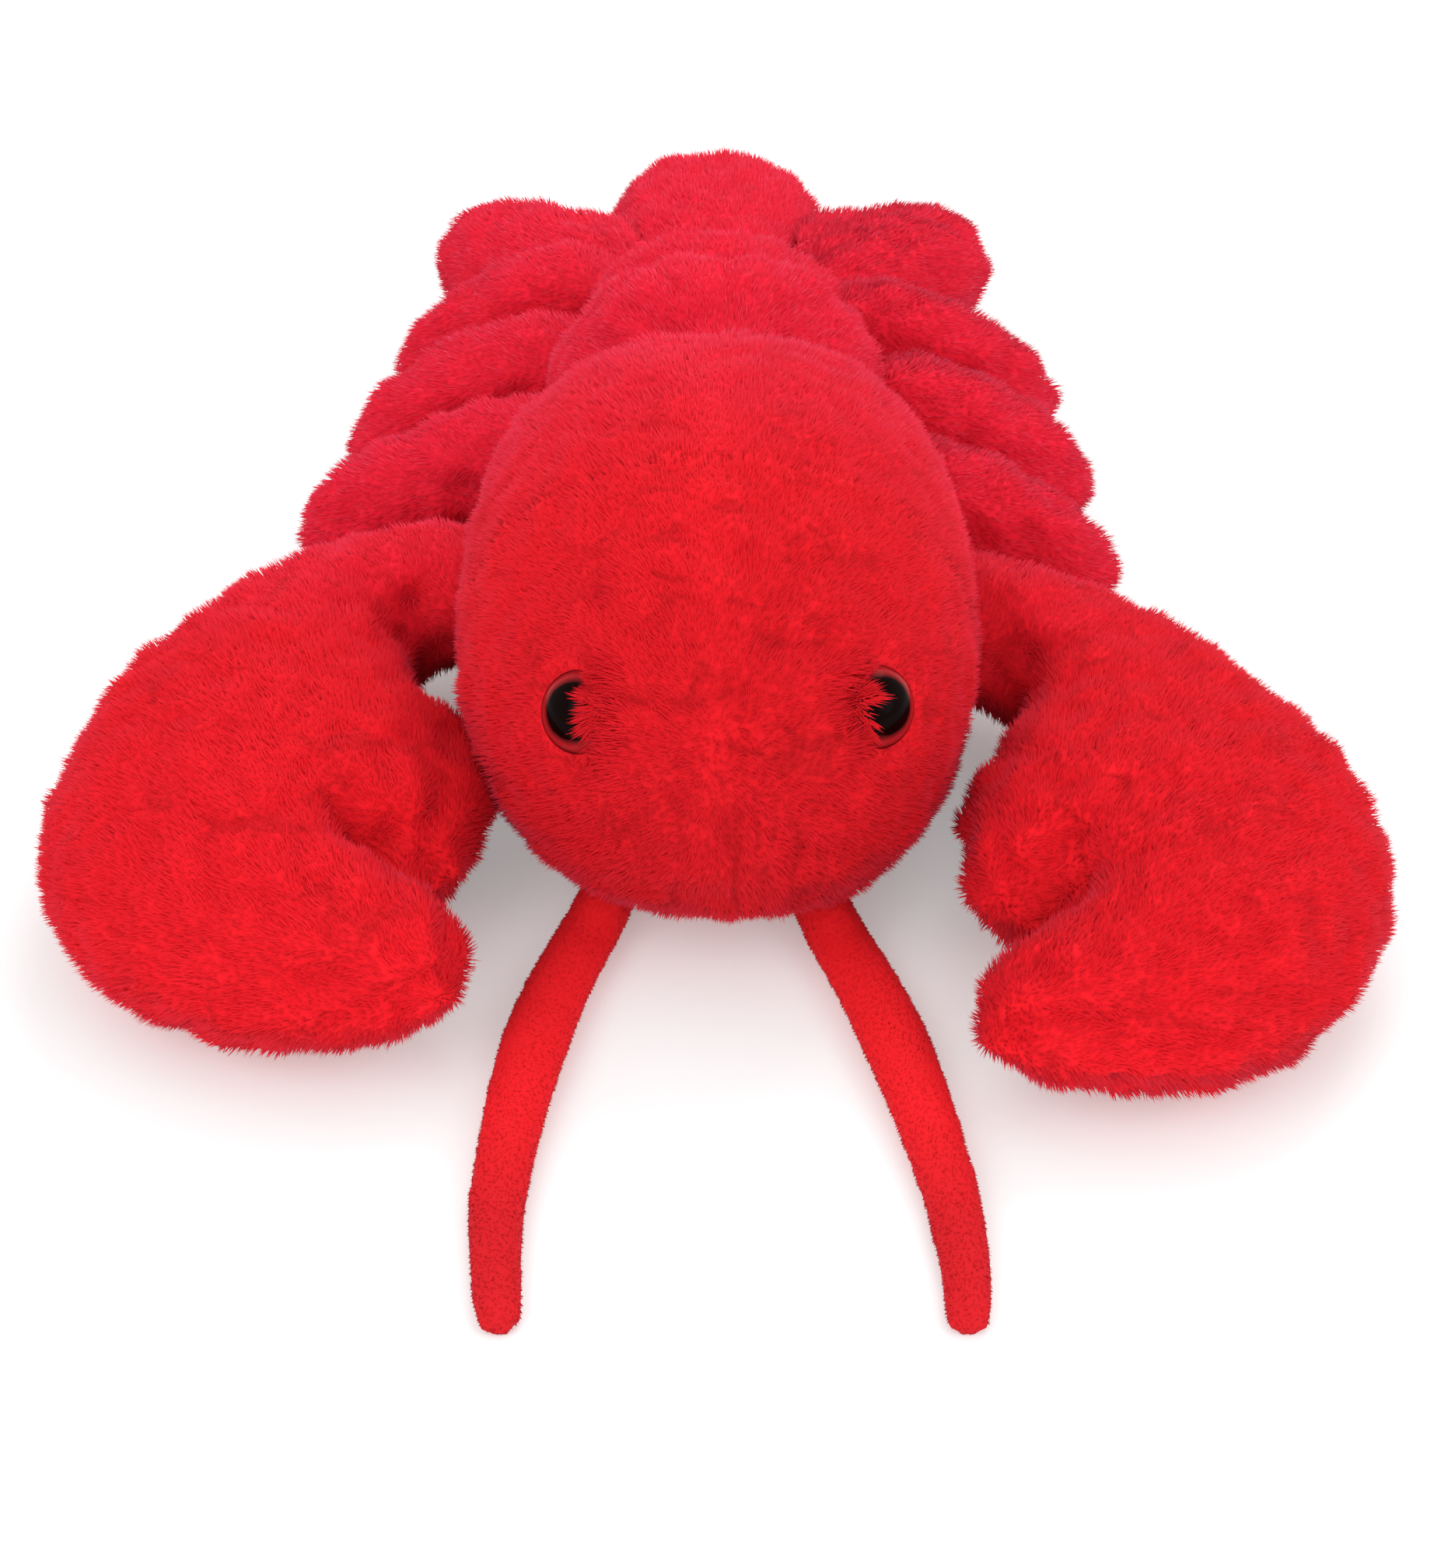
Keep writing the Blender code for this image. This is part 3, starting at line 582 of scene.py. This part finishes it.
comb = {
    # each way is sideways, along and up; sideways is away from the middle
    "body": (0.0, 0.9, -0.4),
    "snout": (0.0, -0.3, -1.2),
    "snoutFrom": (0.052, 0.082),  # distances ahead between which the body's way turns to the snout's
    "spread": (0.6, 3.6, 0.015),  # sideways everywhere, what the turn adds, and the middle that has less
    "backSeam": 0.0044,  # half width of the parting along the back
    "seamTrim": 0.30,
    "seamFrom": 0.2,
    "claw": (1.0, 0.8, -0.15),
    "clawSpread": 0.25,
    "clawDrop": 0.012,
    "tailHeight": 0.02,
    "antenna": (0.2, -1.0, 0.0),
    "leg": (1.0, 0.3, -0.3),
    "strength": 1.15,
    "softness": 0.20,
    "rootsFrom": (-0.0022, -0.0006),  # a limb has strands only where it is out of the body
    "under": {"length": 0.3, "cover": 0.3, "height": 0.009, "from": (0.55, 0.95)},
}
eyeComb = {
    "reach": 0.0050,
    "innerFrom": (-0.001, 0.005),
    "lean": 0.8,
    "outerLean": -0.6,
    "extra": 1.2,
    "trim": 0.5,
    "thick": 0.2,
    "close": 3.0,
}


def combEyes(spots, way, long):
    # the pile falls over the inner side of each eye, longer and closer, and stands clear of the outer side
    thick, cover = np.ones(len(spots)), np.ones(len(spots))
    for place, radius in eyePlaces.values():
        reach = eyeReach(spots, place)
        centre, axis = np.array(place.translation), np.array(place.to_3x3().col[2])
        inner = ease((spots - centre) @ np.array((-np.sign(axis[0]), 0, 0)), *eyeComb["innerFrom"])
        close = 1 - ease(reach, radius, radius + eyeComb["reach"])
        towards = centre - spots
        towards /= np.linalg.norm(towards, axis=1)[:, None]
        lean = eyeComb["outerLean"] + inner * (eyeComb["lean"] - eyeComb["outerLean"])
        way = way * (1 - close)[:, None] + lean[:, None] * towards * close[:, None]
        long = long * (1 + close * (inner * eyeComb["extra"] - (1 - inner) * eyeComb["trim"]))
        long[reach < radius - eyeSeat["gap"]] = 0
        thick += close * inner * eyeComb["thick"]
        cover += close * inner * eyeComb["close"]
    return way, long, thick, cover


def alongSkin(way, normals):
    return way - (way * normals).sum(1)[:, None] * normals


def bodyWay(spots):
    snout = ease(-spots[:, 1], *comb["snoutFrom"])[:, None]
    way = (1 - snout) * np.array(comb["body"]) + snout * np.array(comb["snout"])
    always, turning, width = comb["spread"]
    way[:, 0] += (always + turning * snout * (1 - snout))[:, 0] * np.tanh(spots[:, 0] / width)
    return way


def wayOf(node, spots):
    middle = np.array([tuple(corner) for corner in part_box(node)]).mean(0)
    mirror = np.array((np.sign(middle[0]), 1, 1))
    if node == "body":
        return bodyWay(spots)
    if node.startswith("claw"):
        way = spots - middle
        way[:, 2] = -comb["clawDrop"]
        return comb["clawSpread"] * way / np.linalg.norm(way, axis=1)[:, None] + mirror * comb["claw"]
    if node.startswith("tail"):
        way = spots - np.array((0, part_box("tail_middle")[0][1], comb["tailHeight"]))
        return way / np.linalg.norm(way, axis=1)[:, None]
    return np.tile(mirror * comb["antenna" if node in antennae else "leg"], (len(spots), 1))


def combOf(node, spots, normals):
    # the way that the strands lean, their length and thickness as shares, and how close they stand
    long, thick, close = np.ones(len(spots)), np.ones(len(spots)), np.ones(len(spots))
    way = alongSkin(wayOf(node, spots), normals)
    way *= comb["strength"] / (np.linalg.norm(way, axis=1)[:, None] + comb["softness"])
    if node == "body":
        opened = 1 - ease(abs(spots[:, 0]), 0, comb["backSeam"])
        long -= comb["seamTrim"] * opened * (normals[:, 2] > comb["seamFrom"])
        way, long, thick, close = combEyes(spots, way, long)
        way = alongSkin(way, normals)
    under = comb["under"]
    pressed = ease(-normals[:, 2], *under["from"]) * (spots[:, 2] < under["height"])
    cover = np.where(long > 0, 1 - (1 - under["cover"]) * pressed, 0) * close
    if node != "body":
        cover *= ease(nearBody(spots)[2], *comb["rootsFrom"])
    return way, long * (1 - (1 - under["length"]) * pressed), thick, cover


# Pile

pile = {
    "fur": {
        "Density": 1.95e6,
        "Length": 0.0027,
        "Width": 0.00018,
        "Rough": 0.26,
        "Drift": 0.9,
        "Clump": 0.24,
        "Clump Size": 0.0042,
        "Uneven": 0.45,
        "Comb": 0.85,
    },
    "nap": {
        "Density": 2.2e6,
        "Length": 0.00055,
        "Width": 0.00012,
        "Rough": 0.35,
        "Drift": 0.4,
        "Clump": 0.05,
        "Clump Size": 0.0030,
        "Uneven": 0.10,
        "Comb": 0.60,
    },
    "driftScale": 95.0,
    "patchScale": 160.0,
    "chance": (0.72, 1.06),  # each strand's length against its neighbours'
    "partingTrim": 0.55,
    "bodyBands": (-0.008, 0.052),  # the body's pile is three pieces, parted at these stations
    "followSkin": 0.92,  # how far the strands are lit as the skin under them is
    "floorGap": 0.0002,
    "seed": 7,
    "fringeSeed": 47,
    "shadeSeed": 9,
    "chanceSeed": 4,
}


def strandWay(graph, given, place):
    # a strand stands on the skin, and is combed, drawn to its clump, drifts with its neighbours and is rough
    size = given.output("Clump Size")
    cell = graph.add("ShaderNodeTexVoronoi", None, {"Vector": place, "Scale": 1 / size}).output("Position")
    toClump = graph.scaled(graph.vector("SUBTRACT", cell, place), given.output("Clump") / size)
    drift = graph.noise(place, pile["driftScale"], 1.0).output("Color")
    drift = graph.scaled(graph.vector("SUBTRACT", drift, (0.5, 0.5, 0.5)), given.output("Drift"))
    limits = {"Min": (-1, -1, -1), "Max": (1, 1, 1)}
    each = graph.add("FunctionNodeRandomValue", {"data_type": "FLOAT_VECTOR"}, limits)
    each = graph.scaled(each, given.output("Rough"))
    way = fieldOf(graph, "lie", "FLOAT_VECTOR")
    combed = graph.scaled(fieldOf(graph, "comb", "FLOAT_VECTOR"), given.output("Comb"))
    for part in (combed, toClump, drift, each):
        way = graph.vector("ADD", way, part)
    return graph.vector("NORMALIZE", way)


def strandSize(graph, given, place):
    least, most = pile["chance"]
    limits = {2: least, 3: most, "Seed": pile["chanceSeed"]}
    chance = graph.add("FunctionNodeRandomValue", {"data_type": "FLOAT"}, limits, output=1)
    patch = (graph.noise(place, pile["patchScale"], 1.0) - 0.5) * 2 * given.output("Uneven")
    length = given.output("Length") * fieldOf(graph, "long") * chance * (1 + patch)
    length = length * (1 - pile["partingTrim"] * partings(graph, place))
    width = given.output("Width") * fieldOf(graph, "thick")
    return graph.add("ShaderNodeCombineXYZ", None, {0: width, 1: width, 2: length})


def fieldOf(graph, name, kind="FLOAT"):
    return graph.add("GeometryNodeInputNamedAttribute", {"data_type": kind}, {"Name": name})


def stored(graph, geometry, name, value, kind="FLOAT"):
    inputs = {"Geometry": geometry, "Name": name, "Value": value}
    return graph.add("GeometryNodeStoreNamedAttribute", {"data_type": kind}, inputs)


def pileTree(name, material):
    tree = bpy.data.node_groups.new(name, "GeometryNodeTree")
    tree.interface.new_socket(name="Skin", in_out="INPUT", socket_type="NodeSocketGeometry")
    for label in pile["fur"]:
        tree.interface.new_socket(name=label, in_out="INPUT", socket_type="NodeSocketFloat")
    tree.interface.new_socket(name="Seed", in_out="INPUT", socket_type="NodeSocketInt")
    tree.interface.new_socket(name="Pile", in_out="OUTPUT", socket_type="NodeSocketGeometry")
    graph = Graph(tree)
    given = graph.add("NodeGroupInput")
    density = fieldOf(graph, "cover") * given.output("Density")
    inputs = {"Mesh": given, "Density": density, "Seed": given.output("Seed")}
    points = graph.add("GeometryNodeDistributePointsOnFaces", None, inputs)
    normal = points.output("Normal")
    inputs = {"Seed": pile["shadeSeed"]}
    shade = graph.add("FunctionNodeRandomValue", {"data_type": "FLOAT"}, inputs, output=1)
    points = stored(graph, points, "lie", normal, "FLOAT_VECTOR")
    points = stored(graph, points, "shade", shade)

    place = graph.add("GeometryNodeInputPosition")
    inputs = {"Vector": strandWay(graph, given, place)}
    turn = graph.add("FunctionNodeAlignRotationToVector", {"axis": "Z"}, inputs)
    size = strandSize(graph, given, place)
    inputs = {"Vertices": 3, "Side Segments": 1, "Radius Top": 0.0, "Radius Bottom": 1.0, "Depth": 1.0}
    strand = graph.add("GeometryNodeMeshCone", {"fill_type": "NONE"}, inputs)
    height = graph.split(graph.add("GeometryNodeInputPosition"))[2]
    strand = stored(graph, strand, "tip", height)
    inputs = {"Points": points, "Instance": strand, "Rotation": turn, "Scale": size}
    strands = graph.add("GeometryNodeInstanceOnPoints", None, inputs)
    strands = graph.add("GeometryNodeRealizeInstances", None, {"Geometry": strands})
    strands = graph.add("GeometryNodeSetMaterial", None, {"Geometry": strands, "Material": material})
    graph.add("NodeGroupOutput", None, {"Pile": strands})
    return tree


furTree, napTree = pileTree("furPile", furRed), pileTree("napPile", napRed)


def grow(name, skin, cover, tree, sizes, seed):
    # the modifier makes the strands alone, and their plain mesh becomes a piece of its own
    setAttribute(skin.data, "cover", "FLOAT", cover)
    modifier = skin.modifiers.new("pile", "NODES")
    modifier.node_group = tree
    for item in tree.interface.items_tree:
        if item.in_out == "INPUT" and item.name in sizes:
            modifier[item.identifier] = sizes[item.name]
        elif item.name == "Seed":
            modifier[item.identifier] = seed
    mesh = evaluatedMesh(skin)
    skin.modifiers.clear()
    skin.data.attributes.remove(skin.data.attributes["cover"])
    spots = spotsOf(mesh)
    spots[:, 2] = np.maximum(spots[:, 2], pile["floorGap"])
    moveTo(mesh, spots)
    lie = np.empty(len(spots) * 3)
    mesh.attributes["lie"].data.foreach_get("vector", lie)
    mesh.shade_smooth()
    lit = pile["followSkin"] * lie.reshape(-1, 3) + (1 - pile["followSkin"]) * normalsOf(mesh)
    lit /= np.linalg.norm(lit, axis=1)[:, None]
    mesh.normals_split_custom_set_from_vertices(lit.tolist())
    mesh.attributes.remove(mesh.attributes["lie"])
    return newObject(name, mesh)


piles = {}
for node, skin in skins.items():
    tree, sizes = (napTree, pile["nap"]) if node in antennae else (furTree, pile["fur"])
    spots = spotsOf(skin.data)
    way, long, thick, cover = combOf(node, spots, normalsOf(skin.data))
    setAttribute(skin.data, "comb", "FLOAT_VECTOR", way)
    setAttribute(skin.data, "long", "FLOAT", long)
    setAttribute(skin.data, "thick", "FLOAT", thick)
    first, last = pile["bodyBands"]
    bands = {f"{node}_pile": (-1, 1)}
    if node == "body":
        bands = {"head_pile": (-1, first), "back_pile": (first, last), "puff_pile": (last, 1)}
    piles[node] = []
    for name, (low, high) in bands.items():
        inside = (spots[:, 1] >= low) & (spots[:, 1] < high)
        piles[node].append(grow(name, skin, cover * inside, tree, sizes, pile["seed"] + len(piles)))
counts = {item.name: len(item.data.polygons) for items in piles.values() for item in items}
print("pile grown, triangles:", sum(counts.values()), counts)
print("skin triangles:", sum(2 * len(item.data.polygons) for item in skins.values()))


# Eyes

eyeShape = {"dome": 0.0058, "rim": 0.0008, "shank": 0.0020, "shankLength": 0.0125, "sides": 56, "rings": 20}


def turnedMesh(name, profile, count):
    # the profile turned about Z, from a point on the axis to another, with its faces in the same order each run
    turns = [math.tau * k / count for k in range(count)]
    spots = [(r * math.cos(turn), r * math.sin(turn), z) for r, z in profile[1:-1] for turn in turns]
    first, last = len(spots), len(spots) + 1
    spots += [(0.0, 0.0, profile[0][1]), (0.0, 0.0, profile[-1][1])]
    faces = []
    for k in range(count):
        after = (k + 1) % count
        faces.append((first, k, after))
        for row in range(0, first - count, count):
            faces.append((row + k, row + count + k, row + count + after, row + after))
        faces.append((last, first - count + after, first - count + k))
    mesh = bpy.data.meshes.new(name)
    mesh.from_pydata(spots, [], faces)
    return mesh


def eyePiece(node):
    place, radius = eyePlaces[node]
    profile = [(0.0, eyeShape["rim"] + eyeShape["dome"])]
    for k in range(1, eyeShape["rings"] + 1):
        turn = math.pi / 2 * k / eyeShape["rings"]
        profile.append((radius * math.sin(turn), eyeShape["rim"] + eyeShape["dome"] * math.cos(turn)))
    profile += [(radius - eyeShape["rim"] / 3, 0.0), (eyeShape["shank"], 0.0)]
    profile += [(eyeShape["shank"], -eyeShape["shankLength"]), (0.0, -eyeShape["shankLength"])]
    mesh = turnedMesh(node + "_dome", profile, eyeShape["sides"])
    spots = spotsOf(mesh)
    inwards = place.to_3x3().inverted() @ Vector((-math.copysign(1, place.translation.x), 0, 0))
    pupil = np.array(inwards.xy.normalized()) * eyeLook["shift"]
    setAttribute(mesh, "ring", "FLOAT", np.linalg.norm(spots[:, :2] - pupil, axis=1) / radius)
    mesh.transform(place)
    mesh.shade_smooth()
    return newObject(node + "_dome", mesh, eyeBrown)


fringe = {
    "edge": 0.54,  # where it ends, from 1 at the inner rim to -1 at the outer
    "fade": (-0.04, 0.12),
    "rimGap": 0.0001,
    "jag": 0.45,
    "jagPitch": 0.0019,
    "jagShift": 900.0,  # sets the two eyes' jags apart
    "lean": 2.2,
    "sag": -0.25,
    "long": 1.0,
    "thick": 0.8,
    "close": 5.0,
    "sizes": {**pile["fur"], "Rough": 0.16, "Drift": 0.5, "Clump": 0.55, "Clump Size": 0.0022},
}


def eyeFringePiece(node, seed):
    # the snout's pile hangs over the inner side of the eye in uneven tufts
    place, radius = eyePlaces[node]
    base = newObject(node + "_base", domes[node].data.copy())
    spots, normals = spotsOf(base.data), normalsOf(base.data)
    centre, axis = np.array(place.translation), np.array(place.to_3x3().col[2])
    inwards = np.array((-np.sign(centre[0]), 0.0, 0.0))
    inwards -= axis * (inwards @ axis)
    inwards /= np.linalg.norm(inwards)
    across = (spots - centre) @ inwards / radius
    rise = (spots - centre) @ np.cross(axis, inwards) / fringe["jagPitch"]
    jags = np.array([noise.noise(Vector((row, centre[0] * fringe["jagShift"], 0))) for row in rise])
    edge = fringe["edge"] + fringe["jag"] * jags
    height = (spots - centre) @ axis
    shown = ease(across, edge + fringe["fade"][0], edge + fringe["fade"][1])
    cover = fringe["close"] * shown * (height > eyeShape["rim"] + fringe["rimGap"])
    way = np.tile(-inwards + np.array((0, 0, fringe["sag"])), (len(spots), 1)) * fringe["lean"]
    setAttribute(base.data, "comb", "FLOAT_VECTOR", alongSkin(way, normals))
    setAttribute(base.data, "long", "FLOAT", np.full(len(spots), fringe["long"]))
    setAttribute(base.data, "thick", "FLOAT", np.full(len(spots), fringe["thick"]))
    made = grow(node + "_fringe", base, cover, furTree, fringe["sizes"], seed)
    bpy.data.objects.remove(base)
    return made


domes = {node: eyePiece(node) for node in eyes}
fringes = [eyeFringePiece(node, pile["fringeSeed"] + i) for i, node in enumerate(eyes)]
for node in washers:
    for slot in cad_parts[node].material_slots:
        slot.material = washerWhite
print("eyes set")


# Everything rides on the one body of the frame

for node, skin in skins.items():
    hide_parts(node)
    for piece in [skin] + piles[node]:
        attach(piece, "root")
for node, dome in domes.items():
    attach(dome, "root")
    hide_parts(node)
for piece in fringes:
    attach(piece, "root")


# Floor, light and camera

white = (1, 1, 1, 1)
studio = {
    "floorSize": 6.0,
    "floorTone": (0.87, 0.94, 0.94, 1),
    "floorGlow": 0.15,  # the share of the floor that shows white whatever the light, and how white
    "glowLevel": 1.8,
    "farFrom": (0.6, 1.5),  # further out the floor fades to the sky's white
    "skyLight": 0.86,
    "lamps": (
        # name, place, power, size
        ("keyLamp", (-0.75, -0.75, 0.95), 3.7, 0.9),
        ("fillLamp", (0.95, -0.55, 0.70), 2.8, 0.9),
        ("frontLamp", (0.0, -1.15, 0.30), 2.2, 0.7),
        ("backLamp", (0.30, 0.85, 1.05), 5.0, 0.9),
    ),
    "lampAim": (0, 0, 0.03),
    "cameraPlace": (0.0, -0.5093, 0.4002),
    "cameraTilt": math.radians(52),
    "lens": 75.57,
    "sensor": 36,
    "clipStart": 0.01,
}


def sightOf(graph):
    # 1 for what the camera sees straight, in gloss or through glass
    path = graph.add("ShaderNodeLightPath")
    seen = path.output("Is Camera Ray") + path.output("Is Glossy Ray")
    return (seen + path.output("Is Transmission Ray")).clipped()


def emptyGraph(owner):
    owner.use_nodes = True
    owner.node_tree.nodes.clear()
    return Graph(owner.node_tree)


def makeFloor():
    bm = bmesh.new()
    bmesh.ops.create_grid(bm, x_segments=1, y_segments=1, size=studio["floorSize"] / 2)
    mesh = bpy.data.meshes.new("floor")
    bm.to_mesh(mesh)
    bm.free()
    made = bpy.data.materials.new("floorPale")
    graph = emptyGraph(made)
    plain = graph.add("ShaderNodeBsdfDiffuse", None, {"Color": studio["floorTone"]})
    glow = graph.add("ShaderNodeEmission", None, {"Color": white, "Strength": studio["glowLevel"]})
    far = graph.vector("LENGTH", objectPlace(graph)).output("Value").rising(*studio["farFrom"])
    share = sightOf(graph) * (studio["floorGlow"] + far).clipped()
    seen = graph.add("ShaderNodeMixShader", None, {0: share, 1: plain, 2: glow})
    graph.add("ShaderNodeOutputMaterial", None, {"Surface": seen})
    return newObject("floor", mesh, made)


def makeSky():
    world = bpy.data.worlds.new("studioSky")
    graph = emptyGraph(world)
    dim = graph.add("ShaderNodeBackground", None, {"Color": white, "Strength": studio["skyLight"]})
    bright = graph.add("ShaderNodeBackground", None, {"Color": white, "Strength": 1.0})
    seen = graph.add("ShaderNodeMixShader", None, {0: sightOf(graph), 1: dim, 2: bright})
    graph.add("ShaderNodeOutputWorld", None, {"Surface": seen})
    scene.world = world


def makeLamp(name, place, power, size):
    light = bpy.data.lights.new(name, "AREA")
    light.energy, light.shape, light.size = power, "DISK", size
    lamp = bpy.data.objects.new(name, light)
    scene.collection.objects.link(lamp)
    lamp.location = place
    lamp.rotation_euler = (Vector(studio["lampAim"]) - Vector(place)).to_track_quat("-Z", "Y").to_euler()


def makeCamera():
    lens = bpy.data.cameras.new("photoCamera")
    lens.lens, lens.sensor_width = studio["lens"], studio["sensor"]
    lens.clip_start = studio["clipStart"]
    made = bpy.data.objects.new("photoCamera", lens)
    scene.collection.objects.link(made)
    made.location = studio["cameraPlace"]
    made.rotation_euler = (studio["cameraTilt"], 0, 0)
    scene.camera = made


makeFloor()
makeSky()
for lamp in studio["lamps"]:
    makeLamp(*lamp)
makeCamera()
print("studio set")
